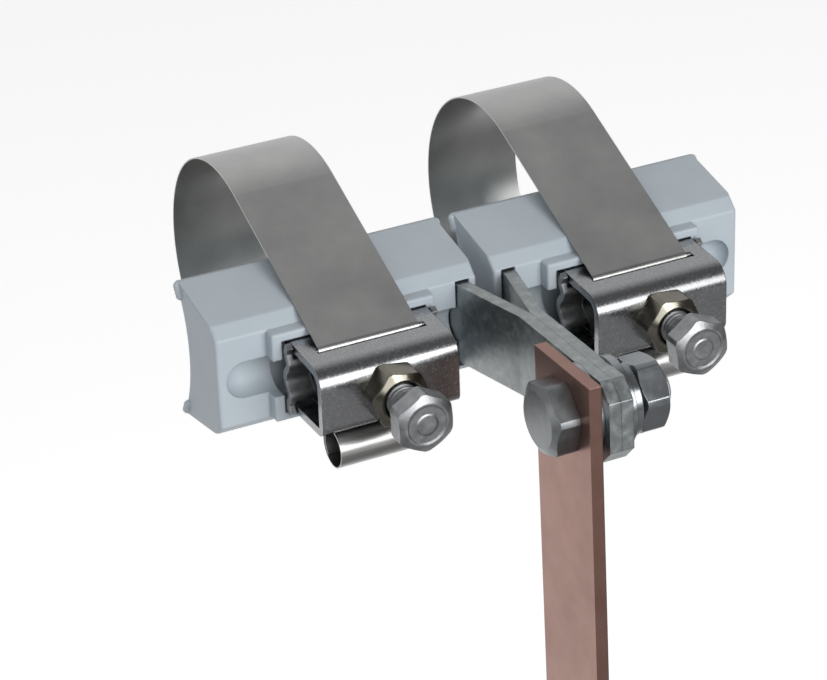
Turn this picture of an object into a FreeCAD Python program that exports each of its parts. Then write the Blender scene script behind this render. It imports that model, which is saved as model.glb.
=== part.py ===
import FreeCAD, Part
import math
import os

from FreeCAD import Placement, Rotation, Vector

# Earthing clamp with two tension bands, and the conductor strip bolted to its lugs.
# The bore axis is X and the tension heads face -Y. Places are given as
# (along, out, up): along X, out from the bore axis towards -Y, and up along Z.
# What belongs to one band is built about along = 0 and then moved to its side.

# Gripped bore and moulded saddles
bore_r = 30.15
saddle_len = 65.5
saddle_gap = 4.6
face_out = 47.0
face_half = 11.2
facet_deep = 3.0
shoulder_clear = 0.19
lip_half = 17.0
lip_rise = 1.2
lip_lean = 0.24
nib_r = 1.05
nib_off_bore = 0.4
nib_top_deg = 32.0
nib_low_deg = 27.5
edge_round = 0.8
groove_r = 4.65
groove_sink = 0.4
groove_end_wall = 2.1

# Raised frame and pocket that take the tension head
frame_rise = 3.3
frame_bar = 2.3
frame_round = 0.6
pocket_depth = 5.5
pocket_clear = 1.0
pocket_play = 0.25
rib_t = 1.6
rib_place = 9.0

# Tension band
band_w = 25.0
band_shift = 0.5
band_t = 0.3
fold_r = 1.5
bar_gap = 0.3
layer_gap = 0.7
bend_r = 1.0
crest_r = 2.0
hook_len = 4.5
hook_r = 0.8
roll_r = 4.8
roll_wind = 0.4
roll_drop = 0.4
roll_end_deg = 50.0

# Tension head, a folded channel
head_w = 34.2
head_shift = 0.9
head_t = 2.0
head_sink = 2.7
head_depth = 19.4
head_half = 8.3
head_flare = 0.7
head_top_r = 5.0
head_low_r = 2.4
slot_rise = 9.1
slot_wide = 1.6
slot_side = 1.0
bar_round = 1.0

# Weld nut and tension screw
screw_d = 8.0
screw_len = 28.5
screw_run = 0.05
screw_point = 3.7
nut_af = 13.0
nut_t = 6.5
nut_turns = {"left": -10.0, "right": -6.0}
wall_hole_clear = 0.5
screw_af = 13.0
screw_head_t = 5.3
screw_turns = {"left": -28.0, "right": -22.0}

# Pressure plate
plate_t = 1.6
crest_gap = 0.05
plate_sink = 0.65
plate_bulge = 2.5
plate_bulge_up = 4.0
plate_seat_up = 6.6
plate_nub = 1.3
plate_half = 8.8
plate_bend_r = 1.3
plate_ear = 1.4
ear_gap = 0.3
flange_gap = 0.8

# Contact lugs
lug_t = 3.0
lug_h = 20.0
lug_end_wall = 1.9
lug_slot_clear = 0.3
lug_slot_play = 1.2
lug_out = 111.5
lug_lean = 2.2
lug_lean_out = 31.0
lug_corner = 4.0
lug_bend_r = 8.0
lug_bend_out = 48.5
lug_join_out = 70.0
foot_len = 15.0
foot_clear = 0.15

# Shares of the width across flats: round of the face, and round that the corners reach
crown_share = 0.82
corner_share = 1.106
crown_slope = math.tan(math.radians(30))

# Connection bolt and what it holds, from its head to its end
bolt_out = 99.5
bolt_d = 10.0
bolt_len = 25.0
bolt_af = 16.0
bolt_head_t = 6.4
bolt_turn = -17.2
bolt_chamfer = 1.0
bolt_nut_t = 8.0
bolt_nut_turn = 21.2
bolt_run = 0.05
bolt_hole = 11.0
washer_d = 21.0
washer_t = 2.0
washer_hole = 10.5
spring_d = 18.1
spring_t = 2.2
spring_hole = 10.3
spring_split = 1.8
spring_slant = 30.0
strip_w = 25.0
strip_t = 3.0
strip_above = 11.5
strip_below = 88.0
stack_gap = 0.02

# How far a cut runs past a surface, and how near an edge counts as being at a place
past = 1.0
near = 0.01

# Derived places
side_shift = (saddle_len + saddle_gap) / 2
frame_out = face_out + frame_rise
flange_back = head_half + head_flare
head_back = frame_out - head_sink
head_out = head_back + head_depth
slot_out = head_back + slot_rise
pocket_half_w = head_w / 2 + pocket_clear
pocket_half_h = flange_back + pocket_play
pocket_floor = face_out - pocket_depth
slot_w = lug_t + 2 * lug_slot_clear
slot_along = saddle_len / 2 - lug_end_wall - slot_w / 2
lugs_half = lug_t + stack_gap / 2
band_mid = bore_r + band_t / 2
flange_half = head_half + head_flare * (head_out - slot_out) / head_depth
drop_out = slot_out + bar_gap + band_t / 2
fold_out = drop_out - fold_r
fold_up = flange_half + bar_gap + band_t / 2 - fold_r
fold_turn = math.atan2(fold_up, fold_out) + math.acos((band_mid - fold_r) / math.hypot(fold_out, fold_up))
shoulder_out = face_out - facet_deep
band_over_shoulder = (bore_r - shoulder_out * math.cos(fold_turn)) / math.sin(fold_turn)
shoulder_half = band_over_shoulder - shoulder_clear
crest_out = frame_out + crest_gap + plate_t - plate_sink
band_crest = crest_out + crest_gap + band_t / 2
screw_tip = band_crest + band_t / 2 + crest_gap
screw_under = screw_tip + screw_len

OUTWARD = Vector(0, -1, 0)
ALONG = Vector(1, 0, 0)
BACKWARD = Vector(-1, 0, 0)


def at(along, out, up):
    """Point from its place along the bore, out from its axis and up."""
    return Vector(along, -out, up)


def box(along0, along1, out0, out1, up0, up1):
    """Block between two places in each direction."""
    return Part.makeBox(along1 - along0, out1 - out0, up1 - up0, at(along0, out1, up0))


def rod(centre, direction, radius, length):
    """Plain cylinder from the centre of its end."""
    return Part.makeCylinder(radius, length, centre, direction)


def spot(centre, radius, angle):
    """Place at an angle on a circle in a plane."""
    return (centre[0] + radius * math.cos(angle), centre[1] + radius * math.sin(angle))


def bent_path(points, radii):
    """Straight runs joined by arcs, one arc at each inner point."""
    runs = []
    start = points[0]
    for before, corner, after, radius in zip(points, points[1:], points[2:], radii):
        back = math.atan2(before[1] - corner[1], before[0] - corner[0])
        ahead = math.atan2(after[1] - corner[1], after[0] - corner[0])
        opening = (ahead - back + math.pi) % (2 * math.pi) - math.pi
        side = math.copysign(1, opening)
        entry = spot(corner, radius / math.tan(abs(opening) / 2), back)
        centre = spot(entry, radius, back + side * math.pi / 2)
        first = back - side * math.pi / 2
        last = first - side * (math.pi - abs(opening))
        runs.append(("line", start, entry))
        runs.append(("arc", centre, radius, first, last))
        start = spot(centre, radius, last)
    runs.append(("line", start, points[-1]))
    return runs


def moved_runs(runs, offset):
    """Points of each run of a path, moved to the left of its direction by an offset."""
    moved = []
    for run in runs:
        if run[0] == "line":
            (x0, y0), (x1, y1) = run[1:]
            length = math.hypot(x1 - x0, y1 - y0)
            dx = -(y1 - y0) / length * offset
            dy = (x1 - x0) / length * offset
            moved.append(((x0 + dx, y0 + dy), (x1 + dx, y1 + dy)))
        else:
            centre, radius, first, last = run[1:]
            radius = radius - offset if last > first else radius + offset
            moved.append(tuple(spot(centre, radius, angle) for angle in (first, (first + last) / 2, last)))
    return moved


def sheet(runs, thickness, place, extrusion):
    """Sheet of even thickness along a path, extruded across it."""
    left = moved_runs(runs, thickness / 2)
    right = moved_runs(runs, -thickness / 2)
    ends = [(right[0][0], left[0][0]), (left[-1][-1], right[-1][-1])]
    edges = []
    for points in left + right + ends:
        points = [place(*point) for point in points]
        edges.append(Part.makeLine(*points) if len(points) == 2 else Part.Arc(*points).toShape())
    return Part.Face(Part.Wire(Part.__sortEdges__(edges))).extrude(extrusion)


def hex_prism(centre, direction, across_flats, height, turn, both_ends=False):
    """Hexagon with turned corners from its bearing face, chamfered at the far end or at both."""
    corner_r = across_flats / math.sqrt(3)
    crown_r = crown_share * across_flats / 2
    corners = [Vector(*spot((0, 0), corner_r, math.radians(60 * k + turn)), 0) for k in range(6)]
    prism = Part.Face(Part.makePolygon(corners + corners[:1])).extrude(Vector(0, 0, height))
    prism = prism.common(Part.makeCylinder(corner_share * across_flats / 2, height))
    wide_r = crown_r + height / crown_slope
    prism = prism.common(Part.makeCone(wide_r, crown_r, height))
    if both_ends:
        prism = prism.common(Part.makeCone(crown_r, wide_r, height))
    prism.Placement = Placement(centre, Rotation(Vector(0, 0, 1), direction))
    return prism


def band_section(width):
    """Place function and extrusion for a sheet centred on along = 0."""
    return (lambda out, up: at(-width / 2, out, up)), Vector(width, 0, 0)


def saddle():
    """Moulded saddle with its outer end at negative along and the lug slot at the other end.

    A round nib stands out at each end of the two edges that lie on the bore.
    """
    lip_out = math.sqrt(bore_r ** 2 - lip_half ** 2)
    half = [(face_out, 0), (face_out, face_half), (shoulder_out, shoulder_half),
            (lip_out + lip_rise, lip_half + lip_lean), (lip_out - lip_rise, lip_half - lip_lean)]
    outline = half[1:] + [(0, 0)] + [(out, -up) for out, up in reversed(half[1:])]
    points = [at(-saddle_len / 2, out, up) for out, up in outline]
    block = Part.Face(Part.makePolygon(points + points[:1])).extrude(Vector(saddle_len, 0, 0))
    block = block.makeFillet(edge_round, front_edges(block))
    for end in (-saddle_len / 2, saddle_len / 2):
        block = block.fuse(nib(end, 1)).fuse(nib(end, -1))
    frame = box(-frame_half_w(), frame_half_w(), face_out - past, frame_out, -face_half, face_half)
    frame = frame.makeFillet(frame_round, outward_edges(frame))
    block = block.fuse(frame)
    block = block.cut(rod(at(-saddle_len, 0, 0), ALONG, bore_r, 2 * saddle_len))
    block = block.cut(pocket()).cut(groove())
    return block.cut(lug_way()).removeSplitter()


def nib(end, side):
    """Rounded nib on one end of an edge that lies on the bore, above the middle plane or below it."""
    places = []
    for degrees in (nib_top_deg, nib_low_deg):
        out, up = spot((0, 0), bore_r + nib_off_bore, math.radians(degrees))
        places.append(at(end, out, side * up))
    along = places[1] - places[0]
    stem = rod(places[0], along, nib_r, along.Length)
    return stem.fuse(Part.makeSphere(nib_r, places[0])).fuse(Part.makeSphere(nib_r, places[1]))


def frame_half_w():
    """Half the outside width of the raised frame."""
    return pocket_half_w + frame_bar


def front_edges(block):
    """Long edges of the saddle that face outward, and its end outlines there."""
    return [edge for edge in block.Edges if -edge.BoundBox.YMax > bore_r]


def outward_edges(frame):
    """Edges round the frame's outward face and its four outer corners."""
    return [edge for edge in frame.Edges if -edge.BoundBox.YMin > frame_out - near]


def pocket():
    """Space for the head's flanges, with two ribs left standing across it."""
    space = box(-pocket_half_w, pocket_half_w, pocket_floor, frame_out + past, -pocket_half_h, pocket_half_h)
    rib_half_h = head_half - head_t
    for place in (-rib_place, rib_place):
        space = space.cut(box(place - rib_t / 2, place + rib_t / 2, pocket_floor, face_out,
                              -rib_half_h, rib_half_h))
    return space


def groove():
    """Scooped channel with round ends that runs along the face."""
    reach = saddle_len / 2 - groove_end_wall - groove_r
    centre_out = face_out + groove_sink
    tool = rod(at(-reach, centre_out, 0), ALONG, groove_r, 2 * reach)
    for end in (-reach, reach):
        tool = tool.fuse(Part.makeSphere(groove_r, at(end, centre_out, 0)))
        tool = tool.fuse(rod(at(end, centre_out, 0), OUTWARD, groove_r, 2 * frame_rise))
    return tool.fuse(box(-reach, reach, centre_out, centre_out + 2 * frame_rise, -groove_r, groove_r))


def lug_way():
    """Slot that the lug comes out of, and the recess for its foot on the bore side."""
    half_h = lug_h / 2 + lug_slot_play
    way = box(slot_along - slot_w / 2, slot_along + slot_w / 2, 0, face_out + past, -half_h, half_h)
    foot_end = slot_along - lug_t / 2 - foot_len - lug_slot_clear
    depth = rod(at(foot_end, 0, 0), ALONG, bore_r + lug_t + foot_clear, slot_along - foot_end)
    return way.fuse(depth.common(box(foot_end, slot_along, 0, face_out, -half_h, half_h)))


def lug():
    """Left contact lug: foot on the bore, stem through the slot and tongue beside the middle plane."""
    stem = -(side_shift - slot_along)
    inner = -(lug_t + stack_gap) / 2
    path = bent_path([(stem, 0), (stem, lug_bend_out), (inner, lug_join_out), (inner, lug_out)],
                     [lug_bend_r, lug_bend_r])
    blade = sheet(path, lug_t, lambda along, out: at(along, out, -lug_h / 2), Vector(0, 0, lug_h))
    corners = [edge for edge in blade.Edges if -edge.BoundBox.YMin > lug_out - near
               and lug_t - near < edge.BoundBox.XLength and edge.Length < lug_t + near]
    blade = leaned(blade.makeChamfer(lug_corner, corners))
    foot_start = stem + lug_t / 2
    foot = rod(at(foot_start, 0, 0), BACKWARD, bore_r + lug_t, lug_t + foot_len)
    foot = foot.common(box(foot_start - lug_t - foot_len, foot_start, 0, face_out, -lug_h / 2, lug_h / 2))
    blade = blade.fuse(foot).cut(rod(at(-saddle_len, 0, 0), ALONG, bore_r, 2 * saddle_len))
    return blade.cut(leaned(bolt_way(bolt_hole))).removeSplitter()


def leaned(shape):
    """Copy of a shape leaned up round a line near the bore, as the lugs stand in their slots."""
    copy = shape.copy()
    copy.rotate(at(0, lug_lean_out, 0), ALONG, -lug_lean)
    return copy


def bolt_way(hole_d):
    """Hole for the connection bolt through everything on its axis."""
    return rod(at(-saddle_len, bolt_out, 0), ALONG, hole_d / 2, 2 * saddle_len)


def band():
    """Tension band: hook on the lower bar, round the bore, over the top bar, through and rolled up."""
    hook_out = drop_out - layer_gap
    inside_up = flange_half - head_t - bar_gap - band_t / 2
    hook_fold = (hook_out - fold_r, -fold_up)
    low_turn = -(math.atan2(fold_up, hook_fold[0])
                 + math.acos((band_mid - fold_r) / math.hypot(*hook_fold)))
    top_fold = (fold_out, fold_up)
    runs = bent_path([(hook_out - hook_len, -inside_up), (hook_out, -inside_up), (hook_out, -fold_up)],
                     [hook_r])
    runs.append(("arc", hook_fold, fold_r, 0, low_turn))
    runs.append(("line", spot(hook_fold, fold_r, low_turn), spot((0, 0), band_mid, low_turn)))
    runs.append(("arc", (0, 0), band_mid, low_turn, fold_turn - 2 * math.pi))
    runs.append(("line", spot((0, 0), band_mid, fold_turn), spot(top_fold, fold_r, fold_turn)))
    runs.append(("arc", top_fold, fold_r, fold_turn, 0))
    roll_up = -(flange_half + roll_drop + band_t / 2 + roll_r)
    crest = crest_corner(band_crest, crest_r, drop_out, inside_up)
    runs += bent_path([(drop_out, fold_up), (drop_out, inside_up), (crest, 0),
                       (drop_out, -inside_up), (drop_out, roll_up)], [bend_r, crest_r, bend_r])
    runs += roll((drop_out + roll_r, roll_up))
    place, extrusion = band_section(band_w)
    return sheet(runs, band_t, place, extrusion)


def crest_corner(crest, radius, reach_out, reach_up):
    """Corner on the middle plane from which a rounded crest at a given place is made."""
    centre = crest + radius
    away = reach_out - centre
    leg = math.atan2(reach_up, away) - math.asin(radius / math.hypot(away, reach_up))
    return centre - radius / math.sin(leg)


def roll(centre):
    """Surplus band rolled up below the head, each half turn a little tighter."""
    runs = []
    radius = roll_r
    angle = math.pi
    for sweep in (math.pi, math.pi, math.radians(roll_end_deg)):
        runs.append(("arc", centre, radius, angle, angle + sweep))
        centre = spot(centre, roll_wind, angle + sweep)
        radius -= roll_wind
        angle += sweep
    return runs


def head():
    """Tension head folded from sheet, with a band slot in each flange and the screw's hole."""
    half = head_half - head_t / 2
    back = half + head_flare
    wall = head_out - head_t / 2
    path = bent_path([(head_back, back), (wall, half), (wall, -half), (head_back, -back)],
                     [head_top_r - head_t / 2, head_low_r - head_t / 2])
    place, extrusion = band_section(head_w)
    channel = sheet(path, head_t, place, extrusion)
    slot_half = band_w / 2 + slot_side
    channel = channel.cut(box(-slot_half, slot_half, slot_out, slot_out + slot_wide, 0, 2 * head_half))
    channel = channel.cut(box(-slot_half, slot_half, slot_out - layer_gap, slot_out + slot_wide,
                              -2 * head_half, 0))
    channel = channel.makeFillet(bar_round, bar_edges(channel, slot_half))
    return channel.cut(rod(at(0, wall - head_t, 0), OUTWARD, screw_d / 2 + wall_hole_clear, 2 * head_t))


def bar_edges(channel, slot_half):
    """Outer edges of the two bars that the band bears on."""
    found = []
    for edge in channel.Edges:
        extent = edge.BoundBox
        along_bar = abs(extent.XLength - 2 * slot_half) < near and extent.YLength < near
        at_bar = slot_out - layer_gap - near < -extent.YMin < slot_out + near
        if along_bar and at_bar and abs(extent.ZMin) > head_half:
            found.append(edge)
    return found


def weld_nut(side):
    """Nut welded on the outside of the head's wall."""
    nut = hex_prism(at(0, head_out, 0), OUTWARD, nut_af, nut_t, nut_turns[side])
    return nut.cut(rod(at(0, head_out - past, 0), OUTWARD, screw_d / 2 + screw_run, nut_t + 2 * past))


def tension_screw(side):
    """Screw with its shank from the hexagon in to the band on the pressure plate."""
    screw = hex_prism(at(0, screw_under, 0), OUTWARD, screw_af, screw_head_t, screw_turns[side])
    shank = rod(at(0, screw_tip + screw_point, 0), OUTWARD, screw_d / 2, screw_len - screw_point)
    tip = Part.makeCone(screw_d / 2 - screw_point, screw_d / 2, screw_point, at(0, screw_tip, 0), OUTWARD)
    return screw.fuse(shank).fuse(tip).removeSplitter()


def pressure_plate():
    """Waved plate between band and frame, with ears that stop it leaving the head sideways."""
    seat = frame_out + crest_gap + plate_t / 2
    bulge_out = seat - plate_sink + plate_bulge
    valley_r = crest_r + band_t / 2 + crest_gap + plate_t / 2
    valley = crest_corner(crest_out - plate_t / 2, valley_r, bulge_out, plate_bulge_up)
    half_path = [(valley, 0), (bulge_out, plate_bulge_up),
                 (seat, plate_seat_up), (seat + plate_nub, plate_half)]
    points = [(out, -up) for out, up in reversed(half_path)] + half_path[1:]
    place, extrusion = band_section(head_w + 2 * (ear_gap + plate_ear))
    radii = [plate_bend_r, plate_bend_r, valley_r, plate_bend_r, plate_bend_r]
    plate = sheet(bent_path(points, radii), plate_t, place, extrusion)
    inner_w = head_w / 2 + ear_gap
    inner_half = head_half - head_t - flange_gap
    for up0, up1 in ((inner_half, 2 * plate_half), (-2 * plate_half, -inner_half)):
        plate = plate.cut(box(-inner_w, inner_w, 0, head_out, up0, up1))
    return plate


def ring(along, thickness, outer_d, hole_d):
    """Flat ring on the connection bolt, from its face nearest the bolt's head."""
    disc = rod(at(along, bolt_out, 0), ALONG, outer_d / 2, thickness)
    return disc.cut(bolt_way(hole_d))


def spring_washer(along):
    """Ring with a slanted cut through it."""
    washer = ring(along, spring_t, spring_d, spring_hole)
    cut = box(along - past, along + spring_t + past, bolt_out - spring_split / 2, bolt_out + spring_split / 2,
              0, spring_d)
    cut.rotate(at(along + spring_t / 2, bolt_out, 0), Vector(0, 0, 1), spring_slant)
    return washer.cut(cut)


def conductor_strip(along):
    """Strip that hangs from the connection bolt."""
    strip = box(along, along + strip_t, bolt_out - strip_w / 2, bolt_out + strip_w / 2,
                -strip_below, strip_above)
    return strip.cut(bolt_way(bolt_hole))


def connection_bolt(along):
    """Bolt from its bearing face along the bore direction."""
    bolt = hex_prism(at(along, bolt_out, 0), BACKWARD, bolt_af, bolt_head_t, bolt_turn)
    shank = rod(at(along, bolt_out, 0), ALONG, bolt_d / 2, bolt_len - bolt_chamfer)
    tip = Part.makeCone(bolt_d / 2, bolt_d / 2 - bolt_chamfer, bolt_chamfer,
                        at(along + bolt_len - bolt_chamfer, bolt_out, 0), ALONG)
    return bolt.fuse(shank).fuse(tip).removeSplitter()


def connection_nut(along):
    """Nut from its bearing face, with running clearance on the bolt."""
    nut = hex_prism(at(along, bolt_out, 0), ALONG, bolt_af, bolt_nut_t, bolt_nut_turn, both_ends=True)
    return nut.cut(bolt_way(bolt_d + 2 * bolt_run))


def moved(shape, along):
    """Copy of a shape moved along the bore."""
    copy = shape.copy()
    copy.translate(Vector(along, 0, 0))
    return copy


def mirrored(shape):
    """Copy of a shape on the other side of the middle plane."""
    return shape.mirror(Vector(0, 0, 0), ALONG)


def build():
    """All pieces by name."""
    pieces = {}
    left_saddle = moved(saddle(), -side_shift)
    left_lug = lug()
    pieces["left_saddle"] = left_saddle
    pieces["right_saddle"] = mirrored(left_saddle)
    pieces["left_lug"] = left_lug
    pieces["right_lug"] = mirrored(left_lug)
    for side, middle in (("left", -side_shift), ("right", side_shift)):
        pieces[side + "_band"] = moved(band(), middle + band_shift)
        pieces[side + "_head"] = moved(head(), middle + head_shift)
        pieces[side + "_weld_nut"] = moved(weld_nut(side), middle + head_shift)
        pieces[side + "_tension_screw"] = moved(tension_screw(side), middle + head_shift)
        pieces[side + "_pressure_plate"] = moved(pressure_plate(), middle + head_shift)
    washer_along = -(lugs_half + stack_gap + washer_t)
    strip_along = washer_along - stack_gap - strip_t
    head_along = strip_along - stack_gap
    flat_along = lugs_half + stack_gap
    spring_along = flat_along + washer_t + stack_gap
    nut_along = spring_along + spring_t + stack_gap
    pieces["strip_washer"] = leaned(ring(washer_along, washer_t, washer_d, washer_hole))
    pieces["conductor_strip"] = leaned(conductor_strip(strip_along))
    pieces["connection_bolt"] = leaned(connection_bolt(head_along))
    pieces["nut_washer"] = leaned(ring(flat_along, washer_t, washer_d, washer_hole))
    pieces["spring_washer"] = leaned(spring_washer(spring_along))
    pieces["connection_nut"] = leaned(connection_nut(nut_along))
    return pieces


os.makedirs("parts", exist_ok=True)
for node, shape in build().items():
    shape.exportStep("parts/" + node + ".step")
    print(node, shape.isValid(), len(shape.Solids), round(shape.Volume, 1))
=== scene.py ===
import math

import bmesh
import bpy
from mathutils import Matrix, Vector


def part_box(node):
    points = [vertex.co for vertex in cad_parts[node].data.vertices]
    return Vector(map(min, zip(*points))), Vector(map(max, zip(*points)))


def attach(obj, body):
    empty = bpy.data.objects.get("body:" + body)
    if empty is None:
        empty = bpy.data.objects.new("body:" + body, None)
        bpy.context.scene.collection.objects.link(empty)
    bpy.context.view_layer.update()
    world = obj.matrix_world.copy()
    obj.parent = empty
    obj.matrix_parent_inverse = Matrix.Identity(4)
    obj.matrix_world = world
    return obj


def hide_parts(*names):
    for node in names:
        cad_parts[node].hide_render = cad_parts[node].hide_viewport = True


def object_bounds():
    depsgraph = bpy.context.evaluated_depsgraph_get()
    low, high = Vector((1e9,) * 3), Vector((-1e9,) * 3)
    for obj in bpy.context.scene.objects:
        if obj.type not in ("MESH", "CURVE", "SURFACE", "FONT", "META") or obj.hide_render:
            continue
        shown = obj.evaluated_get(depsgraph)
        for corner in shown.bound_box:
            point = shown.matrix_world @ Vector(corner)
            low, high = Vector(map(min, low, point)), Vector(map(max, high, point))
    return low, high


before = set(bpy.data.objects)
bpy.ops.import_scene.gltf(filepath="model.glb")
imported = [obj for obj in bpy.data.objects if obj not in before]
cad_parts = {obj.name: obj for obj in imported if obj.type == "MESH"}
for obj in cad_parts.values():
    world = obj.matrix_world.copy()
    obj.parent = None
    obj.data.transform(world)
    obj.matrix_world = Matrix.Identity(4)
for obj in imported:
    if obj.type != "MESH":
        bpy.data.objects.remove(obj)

cad_box = [list(corner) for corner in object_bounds()]

# Lengths are in metres, and mm turns millimetres into them. Angles are in degrees.
mm = 0.001

# Camera that matches the photograph's view, with its lens in millimetres and its shift in picture widths
camera_place = (-286.8 * mm, -622.4 * mm, 344.0 * mm)
camera_turn = (61.911, 1.714, -26.321)
camera_lens = 136.11
camera_shift = (-0.0245, -0.0309)
camera_near = 10 * mm

# Paper floor below the lowest point: grey in front as painted shade, up to one line across it, and white
# behind the next
floor_reach = 8.0
floor_drop = 200 * mm
grey_to_y = -150 * mm
white_from_y = 130 * mm
paper_grey = "#989898"
paper_white = "#f4f4f4"
paper_lift = 0.5

# Surround: the way to its bright side, and its levels as (share of the way there, strength)
bright_side = (0, 0.9, 0.43)
surround_levels = ((0.35, 0.15), (0.70, 0.2), (0.95, 0.85))

# Square lamps as (place, side, power in watts), all turned to one point
lamp_target = (0, -60 * mm, 0)
lamps = {
    "key": ((0.3, -1.02, 0.36), 0.55, 4.6),
    "front": ((-0.08, -1.1, 0.32), 0.9, 7.8),
    "left": ((-1.15, -0.15, 0.3), 0.9, 2.2),
}

# Tension screws, M8, with the length of their pointed end
screw_r = 4.0 * mm
screw_pitch = 1.25 * mm
screw_flats = 13.0 * mm
screw_head_t = 5.3 * mm
screw_turns = {"left": -28.0, "right": -22.0}
screw_point = 3.7 * mm

# Shallow ring in a screw's face, around a boss that stands a little lower than the face
ring_r = 4.8 * mm
ring_floor_r = 4.5 * mm
ring_depth = 0.25 * mm
boss_foot_r = 2.7 * mm
boss_r = 2.3 * mm
boss_depth = 0.05 * mm

# Faces as the depth of their round edge, and points of (radius, depth) from there to the middle
screw_face_edge = 0
screw_face = [(ring_r, 0), (ring_floor_r, ring_depth), (boss_foot_r, ring_depth), (boss_r, boss_depth),
              (0, boss_depth)]
bolt_face_edge = 0.15 * mm
bolt_face = [(3.5 * mm, 0.04 * mm), (0, 0)]

# Connection bolt, M10
bolt_r = 5.0 * mm
bolt_pitch = 1.5 * mm
bolt_flats = 16.0 * mm
bolt_head_t = 6.4 * mm
bolt_turn = -15.0
bolt_chamfer = 1.0 * mm

# Weld nuts and connection nut
weld_nut_t = 6.5 * mm
weld_nut_turns = {"left": -10.0, "right": -6.0}
bolt_nut_t = 8.0 * mm
bolt_nut_turn = 19.0
hole_clear = 0.05 * mm
countersink = 0.7 * mm

# Hexagons: round of the face and reach of the corners, as shares of the width across flats, and the
# slope of the chamfer between them
crown_share = 0.41
corner_share = 0.553
chamfer_slope = 30.0

# Threads with a 60 degree profile: depth, flat crest and flat root, as shares of the pitch
thread_depth = 0.6134
thread_crest = 0.125
thread_root = 0.25

# How far a shank runs into its head
shank_overlap = 0.2 * mm

# Steps of a full turn, and the distance within which points are joined
thread_steps = 36
turned_steps = 96
weld_distance = 0.0001 * mm

# Rays that soften an edge in a material
edge_samples = 6


def linear(colour):
    """sRGB hex colour as linear red, green, blue and alpha."""
    shares = [int(colour[k:k + 2], 16) / 255 for k in (1, 3, 5)]
    return [s / 12.92 if s <= 0.04045 else ((s + 0.055) / 1.055) ** 2.4 for s in shares] + [1.0]


def per(size_mm):
    """Scale that gives a pattern this size in millimetres."""
    return 1 / (size_mm * mm)


def add(tree, kind, inputs=None, **settings):
    """One node with its settings. An input is a value, or the socket that it is linked from."""
    made = tree.nodes.new(kind)
    for name, value in settings.items():
        setattr(made, name, value)
    for name, value in (inputs or {}).items():
        if isinstance(value, bpy.types.NodeSocket):
            tree.links.new(value, made.inputs[name])
        else:
            made.inputs[name].default_value = value
    return made


def blank(name):
    """New material with its tree, its surface shader and the place on the object."""
    material = bpy.data.materials.new(name)
    material.use_nodes = True
    tree = material.node_tree
    shader = tree.nodes["Principled BSDF"]
    place = add(tree, "ShaderNodeTexCoord").outputs["Object"]
    return material, tree, shader, place


def ramp(tree, factor, stops):
    """Colour ramp between stops of (position, hex colour)."""
    made = add(tree, "ShaderNodeValToRGB", {"Fac": factor})
    elements = made.color_ramp.elements
    while len(elements) < len(stops):
        elements.new(0.5)
    for element, (position, colour) in zip(elements, stops):
        element.position = position
        element.color = linear(colour)
    return made.outputs["Color"]


def combined(tree, operation, first, second):
    """Two values joined by an operation, such as their product or the larger one."""
    return add(tree, "ShaderNodeMath", {0: first, 1: second}, operation=operation).outputs[0]


def noise(tree, place, size_mm, detail, roughness=0.5):
    """Noise with features of about this size."""
    made = add(tree, "ShaderNodeTexNoise", {"Vector": place, "Scale": per(size_mm), "Detail": detail,
                                            "Roughness": roughness})
    return made.outputs["Fac"]


def drawn_lines(tree, place, sizes_mm, detail):
    """Noise stretched to these sizes along X, Y and Z, for the lines that rolling or drawing leaves."""
    stretched = add(tree, "ShaderNodeMapping", {"Vector": place, "Scale": [per(size) for size in sizes_mm]})
    made = add(tree, "ShaderNodeTexNoise", {"Vector": stretched.outputs["Vector"], "Scale": 1.0,
                                            "Detail": detail})
    return made.outputs["Fac"]


def tint(tree, shader, cloud, stops):
    """Colour that follows a noise through stops of (position, hex colour)."""
    tree.links.new(ramp(tree, cloud, stops), shader.inputs["Base Color"])


def gloss(tree, shader, cloud, roughness):
    """Roughness that follows a noise, from its low places to its high ones."""
    made = add(tree, "ShaderNodeMapRange", {"Value": cloud, "From Min": 0.3, "From Max": 0.7,
                                            "To Min": roughness[0], "To Max": roughness[1]})
    tree.links.new(made.outputs["Result"], shader.inputs["Roughness"])


def relief(tree, shader, height, strength, depth_mm, edge_mm=None):
    """Fine relief from a noise, over edges softened to a radius where one is given."""
    bump = add(tree, "ShaderNodeBump", {"Strength": strength, "Distance": depth_mm * mm, "Height": height})
    if edge_mm:
        edge = add(tree, "ShaderNodeBevel", {"Radius": edge_mm * mm}, samples=edge_samples)
        tree.links.new(edge.outputs["Normal"], bump.inputs["Normal"])
    tree.links.new(bump.outputs["Normal"], shader.inputs["Normal"])


def moulded_polyamide():
    """Filled nylon from a spark-eroded mould: matt, faintly grained, slightly uneven in tone."""
    material, tree, shader, place = blank("moulded_polyamide")
    cloud = noise(tree, place, 14, detail=3.0)
    tint(tree, shader, cloud, [(0.3, "#b0bac2"), (0.7, "#b6c0c7")])
    grain = noise(tree, place, 0.35, detail=4.0)
    relief(tree, shader, grain, strength=0.2, depth_mm=0.04, edge_mm=0.5)
    shader.inputs["Roughness"].default_value = 0.5
    shader.inputs["IOR"].default_value = 1.53
    return material


def clouded_metal(name, cloud_mm, stops, roughness, dent_mm, dent_depth_mm, edge_mm=0.3):
    """Metal whose colour and gloss drift together in clouds, with fine dents and softened edges."""
    material, tree, shader, place = blank(name)
    cloud = noise(tree, place, cloud_mm, detail=5.0, roughness=0.62)
    tint(tree, shader, cloud, stops)
    gloss(tree, shader, cloud, roughness)
    dents = noise(tree, place, dent_mm, detail=4.0)
    relief(tree, shader, dents, strength=1.0, depth_mm=dent_depth_mm, edge_mm=edge_mm)
    shader.inputs["Metallic"].default_value = 1.0
    return material


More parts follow.
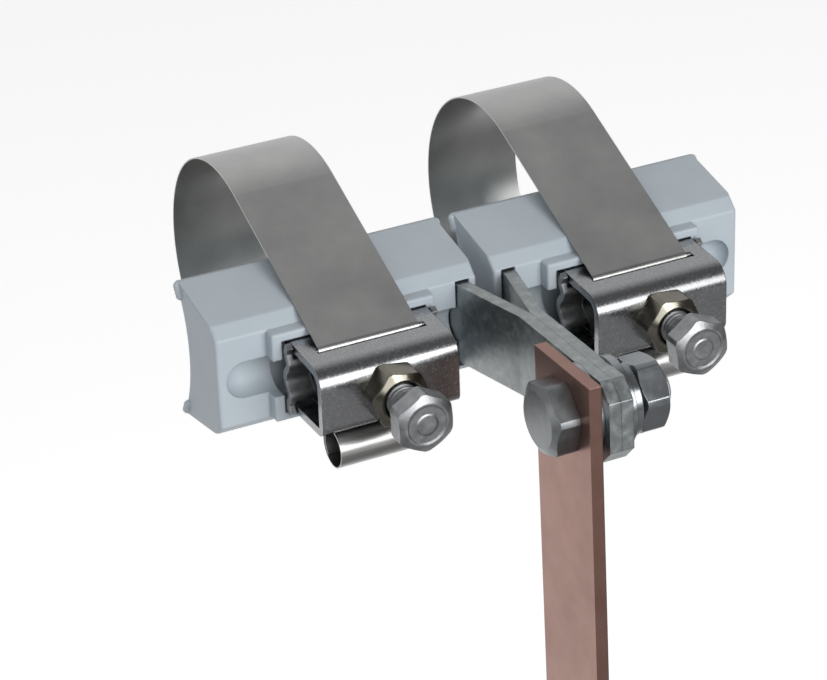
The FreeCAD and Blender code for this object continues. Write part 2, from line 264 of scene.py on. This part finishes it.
def rolled_stainless_band():
    """Cold-rolled strip: satin, with faint clouds and fine lines along the rolling."""
    material, tree, shader, place = blank("rolled_stainless_band")
    cloud = noise(tree, place, 16, detail=4.0, roughness=0.6)
    tint(tree, shader, cloud, [(0.3, "#a5a6a5"), (0.7, "#bbbcba")])
    gloss(tree, shader, cloud, (0.28, 0.38))
    lines = drawn_lines(tree, place, (0.18, 9, 9), detail=2.0)
    relief(tree, shader, lines, strength=0.5, depth_mm=0.003)
    shader.inputs["Metallic"].default_value = 1.0
    return material


def bare_copper():
    """Drawn copper strip left bare: dull brown pink, with cloudy tarnish and draw lines along it."""
    material, tree, shader, place = blank("bare_copper")
    tarnish = noise(tree, place, 12, detail=6.0, roughness=0.6)
    tint(tree, shader, tarnish, [(0.3, "#8f6e64"), (0.7, "#9f7e74")])
    lines = drawn_lines(tree, place, (0.25, 0.25, 30), detail=3.0)
    relief(tree, shader, lines, strength=0.5, depth_mm=0.006, edge_mm=0.3)
    shader.inputs["Metallic"].default_value = 1.0
    shader.inputs["Roughness"].default_value = 0.34
    return material


def finish_node(name, material):
    """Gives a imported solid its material."""
    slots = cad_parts[name].data.materials
    slots.clear()
    slots.append(material)


def turned(profile, closed=False):
    """Solid turned about Z from points of (radius, height), or a ring from a closed profile."""
    mesh = bmesh.new()
    points = [mesh.verts.new((radius, 0, height)) for radius, height in profile]
    ends = points[1:] + points[:1] if closed else points[1:]
    edges = [mesh.edges.new(pair) for pair in zip(points, ends)]
    bmesh.ops.spin(mesh, geom=points + edges, cent=(0, 0, 0), axis=(0, 0, 1),
                   angle=2 * math.pi, steps=turned_steps, use_merge=True, use_duplicate=False)
    bmesh.ops.remove_doubles(mesh, verts=mesh.verts, dist=weld_distance)
    return mesh


def trim(mesh, place, outward):
    """Cuts away what lies beyond a plane and closes the cut."""
    geometry = mesh.verts[:] + mesh.edges[:] + mesh.faces[:]
    cut = bmesh.ops.bisect_plane(mesh, geom=geometry, dist=weld_distance, plane_co=place,
                                 plane_no=outward, clear_outer=True)
    rim = [item for item in cut["geom_cut"] if isinstance(item, bmesh.types.BMEdge)]
    bmesh.ops.holes_fill(mesh, edges=rim)


def hexagon(mesh, flats, turn):
    """Turned solid cut to a hexagon, with its first corner turned from X by some degrees."""
    for side in range(6):
        angle = math.radians(turn + 30 + 60 * side)
        outward = Vector((math.cos(angle), math.sin(angle), 0))
        trim(mesh, outward * flats / 2, outward)
    return mesh


def thread(radius, pitch, low, high, tip):
    """Threaded rod between two heights, trimmed from a longer one, with its tip as (flat radius, length)."""
    root = radius - thread_depth * pitch
    ridge = [(root, 0), (root, thread_root / 2), (radius, 0.5 - thread_crest / 2),
             (radius, 0.5 + thread_crest / 2), (root, 1 - thread_root / 2), (root, 1)]
    mesh = bmesh.new()
    points = [mesh.verts.new((r, 0, low - pitch + share * pitch)) for r, share in ridge]
    edges = [mesh.edges.new(pair) for pair in zip(points, points[1:])]
    turns = math.ceil((high - low) / pitch) + 2
    bmesh.ops.spin(mesh, geom=points + edges, cent=(0, 0, 0), axis=(0, 0, 1),
                   dvec=(0, 0, pitch / thread_steps), angle=2 * math.pi * turns,
                   steps=thread_steps * turns, use_merge=False, use_duplicate=False)
    bmesh.ops.remove_doubles(mesh, verts=mesh.verts, dist=weld_distance)
    trim(mesh, Vector((0, 0, low)), Vector((0, 0, -1)))
    trim(mesh, Vector((0, 0, high)), Vector((0, 0, 1)))
    tip_r, tip_length = tip
    for point in mesh.verts:
        reach = tip_r + (point.co.z - low) * (radius - tip_r) / tip_length
        distance = math.hypot(point.co.x, point.co.y)
        if distance > reach:
            point.co.x *= reach / distance
            point.co.y *= reach / distance
    return mesh


def finished(name, meshes, place, material, body):
    """One piece from meshes made about Z, put in its place and on its body."""
    joined = bmesh.new()
    for mesh in meshes:
        bmesh.ops.recalc_face_normals(mesh, faces=mesh.faces)
        part = bpy.data.meshes.new(name)
        mesh.to_mesh(part)
        mesh.free()
        joined.from_mesh(part)
        bpy.data.meshes.remove(part)
    bmesh.ops.transform(joined, matrix=place, verts=joined.verts)
    data = bpy.data.meshes.new(name)
    joined.to_mesh(data)
    joined.free()
    piece = bpy.data.objects.new(name, data)
    bpy.context.scene.collection.objects.link(piece)
    data.materials.append(material)
    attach(piece, body)
    return piece


def chamfer(flats):
    """Radius of a hexagon's face, radius its corners reach, and the depth between the two."""
    crown = crown_share * flats
    wide = corner_share * flats
    return crown, wide, (wide - crown) * math.tan(math.radians(chamfer_slope))


def crowned(flats, height, edge, face):
    """Profile of a hexagon head from its bearing face at 0, with the depth of its face's round edge and
    points of (radius, depth) inside that edge."""
    crown, wide, drop = chamfer(flats)
    return [(0, 0), (wide, 0), (wide, height - edge - drop), (crown, height - edge)] + [
        (radius, height - depth) for radius, depth in face]


def nut_ring(flats, height, hole, both_ends):
    """Profile of a nut with a countersunk hole, chamfered at its far end or at both."""
    crown, wide, drop = chamfer(flats)
    near = [(crown, 0), (wide, drop)] if both_ends else [(wide, 0)]
    return [(hole, countersink), (hole + countersink, 0)] + near + [
        (wide, height - drop), (crown, height), (hole + countersink, height), (hole, height - countersink)]


def towards_front(middle, out):
    """Placement that sets Z along the way out of the bore, from a place in front of it."""
    return Matrix.Translation((middle, -out, 0)) @ Matrix.Rotation(math.radians(90), 4, "X")


def tension_screw(side, material):
    """Screw with its thread showing between the weld nut and its hexagon."""
    node = side + "_tension_screw"
    low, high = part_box(node)
    middle = (low[0] + high[0]) / 2
    length = high[1] - low[1]
    under = length - screw_head_t
    profile = crowned(screw_flats, screw_head_t, screw_face_edge, screw_face)
    head = hexagon(turned(profile), screw_flats, screw_turns[side])
    bmesh.ops.translate(head, vec=(0, 0, under), verts=head.verts)
    shank = thread(screw_r, screw_pitch, 0, under + shank_overlap, (screw_r - screw_point, screw_point))
    piece = finished(side + "_screw_piece", [head, shank], towards_front(middle, -high[1]), material,
                     side + "_screw")
    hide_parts(node)


def weld_nut(side, material):
    """Nut on the head's wall, with a countersunk hole."""
    node = side + "_weld_nut"
    low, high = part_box(node)
    middle = (low[0] + high[0]) / 2
    profile = nut_ring(screw_flats, weld_nut_t, screw_r + hole_clear, False)
    nut = hexagon(turned(profile, closed=True), screw_flats, weld_nut_turns[side])
    piece = finished(side + "_nut_piece", [nut], towards_front(middle, -high[1]), material,
                     side + "_head")
    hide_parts(node)


def connection_bolt(material):
    """Bolt with a slightly domed face and the thread showing past its nut."""
    low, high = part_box("connection_bolt")
    depth = (low[1] + high[1]) / 2
    height = (low[2] + high[2]) / 2
    bearing = low[0] + bolt_head_t
    length = high[0] - bearing
    profile = crowned(bolt_flats, bolt_head_t, bolt_face_edge, bolt_face)
    head = hexagon(turned(profile), bolt_flats, bolt_turn)
    shank = thread(bolt_r, bolt_pitch, -length, shank_overlap, (bolt_r - bolt_chamfer, bolt_chamfer))
    place = Matrix.Translation((bearing, depth, height)) @ Matrix.Rotation(math.radians(-90), 4, "Y")
    piece = finished("bolt_piece", [head, shank], place, material, "clamp")
    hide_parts("connection_bolt")


def connection_nut(material):
    """Nut chamfered at both ends, with a countersunk hole."""
    low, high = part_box("connection_nut")
    depth = (low[1] + high[1]) / 2
    height = (low[2] + high[2]) / 2
    profile = nut_ring(bolt_flats, bolt_nut_t, bolt_r + hole_clear, True)
    nut = hexagon(turned(profile, closed=True), bolt_flats, bolt_nut_turn)
    place = Matrix.Translation((low[0], depth, height)) @ Matrix.Rotation(math.radians(90), 4, "Y")
    piece = finished("bolt_nut_piece", [nut], place, material, "nut")
    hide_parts("connection_nut")


def paper_floor():
    """Paper below the clamp, grey in front as painted shade. Its white part has light of its own where it is
    seen or mirrored.
    """
    mesh = bmesh.new()
    bmesh.ops.create_grid(mesh, x_segments=1, y_segments=1, size=floor_reach)
    data = bpy.data.meshes.new("floor")
    mesh.to_mesh(data)
    mesh.free()
    floor = bpy.data.objects.new("floor", data)
    floor.location.z = cad_box[0][2] - floor_drop
    bpy.context.scene.collection.objects.link(floor)
    material, tree, shader, place = blank("pale_paper")
    back = add(tree, "ShaderNodeSeparateXYZ", {"Vector": place})
    share = add(tree, "ShaderNodeMapRange", {"Value": back.outputs["Y"], "From Min": grey_to_y,
                                             "From Max": white_from_y}, interpolation_type="SMOOTHSTEP")
    # The grey in front is painted shade for the metals to mirror, and the white behind is the backdrop
    tint(tree, shader, share.outputs["Result"], [(0.0, paper_grey), (1.0, paper_white)])
    shader.inputs["Roughness"].default_value = 0.9
    shader.inputs["Specular IOR Level"].default_value = 0.0
    path = add(tree, "ShaderNodeLightPath").outputs
    seen = combined(tree, "MAXIMUM", path["Is Camera Ray"], path["Is Glossy Ray"])
    seen = combined(tree, "MAXIMUM", seen, path["Is Transmission Ray"])
    lift = combined(tree, "MULTIPLY", seen, share.outputs["Result"])
    lift = combined(tree, "MULTIPLY", lift, paper_lift)
    shader.inputs["Emission Color"].default_value = (1, 1, 1, 1)
    tree.links.new(lift, shader.inputs["Emission Strength"])
    data.materials.append(material)


def surround():
    """Even soft light that is bright behind and above the clamp and dim in front of it."""
    world = bpy.data.worlds.new("studio")
    bpy.context.scene.world = world
    world.use_nodes = True
    tree = world.node_tree
    direction = add(tree, "ShaderNodeTexCoord").outputs["Generated"]
    towards_back = add(tree, "ShaderNodeVectorMath", {0: direction, 1: bright_side}, operation="DOT_PRODUCT")
    share = add(tree, "ShaderNodeMapRange", {"Value": towards_back.outputs["Value"], "From Min": -1.0,
                                             "From Max": 1.0})
    level = add(tree, "ShaderNodeValToRGB", {"Fac": share.outputs["Result"]})
    elements = level.color_ramp.elements
    elements.new(0.5)
    for element, (position, strength) in zip(elements, surround_levels):
        element.position = position
        element.color = (strength, strength, strength, 1)
    tree.links.new(level.outputs["Color"], tree.nodes["Background"].inputs["Color"])


def soft_lamp(name, place, side, power):
    """Square lamp turned to the clamp."""
    light = bpy.data.lights.new(name, "AREA")
    light.shape = "SQUARE"
    light.size = side
    light.energy = power
    lamp = bpy.data.objects.new(name, light)
    lamp.location = place
    lamp.rotation_euler = (Vector(lamp_target) - Vector(place)).to_track_quat("-Z", "Y").to_euler()
    bpy.context.scene.collection.objects.link(lamp)


def camera():
    """Camera with the photograph's view, and colours shown as they are."""
    view = bpy.data.cameras.new("camera")
    view.lens = camera_lens
    view.shift_x, view.shift_y = camera_shift
    view.clip_start = camera_near
    holder = bpy.data.objects.new("camera", view)
    holder.location = camera_place
    holder.rotation_euler = [math.radians(angle) for angle in camera_turn]
    bpy.context.scene.collection.objects.link(holder)
    bpy.context.scene.camera = holder
    bpy.context.scene.view_settings.view_transform = "Standard"


polyamide = moulded_polyamide()
band_steel = rolled_stainless_band()
copper = bare_copper()
# Pickled and tumbled sheet: even grey with faint clouds of tone, and fine bright flecks in its colour that
# are painted glints
head_steel = clouded_metal("pickled_sheet_painted_glints", cloud_mm=0.6,
                           stops=[(0.3, "#8c8d8f"), (0.58, "#9a9b9d"), (0.76, "#b9babb")],
                           roughness=(0.2, 0.29), dent_mm=0.6, dent_depth_mm=0.009)
# Cold-formed nuts with forming wax left on them: smooth and slightly olive
nut_steel = clouded_metal("waxed_stainless_nut", cloud_mm=3.0, stops=[(0.3, "#6f6c62"), (0.7, "#807d73")],
                          roughness=(0.14, 0.22), dent_mm=1.6, dent_depth_mm=0.01, edge_mm=0.35)
# Cold-formed screws and pressed plates: cool grey, satin, with small shallow dents
screw_steel = clouded_metal("formed_stainless", cloud_mm=2.5, stops=[(0.3, "#87898b"), (0.7, "#a9abad")],
                            roughness=(0.38, 0.48), dent_mm=0.8, dent_depth_mm=0.03)
# Forged bolt: darker, and smoother than the screws
bolt_steel = clouded_metal("forged_bolt", cloud_mm=4.0, stops=[(0.3, "#7d8082"), (0.7, "#8f9294")],
                           roughness=(0.34, 0.42), dent_mm=1.0, dent_depth_mm=0.012)
# Bright zinc plate on the nut and the washers: blue grey, a little uneven
zinc = clouded_metal("zinc_plate", cloud_mm=4.0, stops=[(0.3, "#8f9397"), (0.7, "#9fa3a7")],
                     roughness=(0.2, 0.28), dent_mm=1.2, dent_depth_mm=0.009, edge_mm=0.35)
# Hot-dipped strip: mottled grey, with a soft gloss
lug_tin = clouded_metal("dipped_lug", cloud_mm=2.6,
                        stops=[(0.3, "#8d9293"), (0.5, "#9a9fa0"), (0.7, "#b6babb")],
                        roughness=(0.33, 0.47), dent_mm=0.8, dent_depth_mm=0.02)

for side in ("left", "right"):
    finish_node(side + "_saddle", polyamide)
    finish_node(side + "_band", band_steel)
    finish_node(side + "_head", head_steel)
    finish_node(side + "_pressure_plate", screw_steel)
    finish_node(side + "_lug", lug_tin)
    tension_screw(side, screw_steel)
    weld_nut(side, nut_steel)
for name in ("strip_washer", "nut_washer", "spring_washer"):
    finish_node(name, zinc)
finish_node("conductor_strip", copper)
connection_bolt(bolt_steel)
connection_nut(zinc)

paper_floor()
surround()
for name, (place, size, power) in lamps.items():
    soft_lamp(name, place, size, power)
camera()
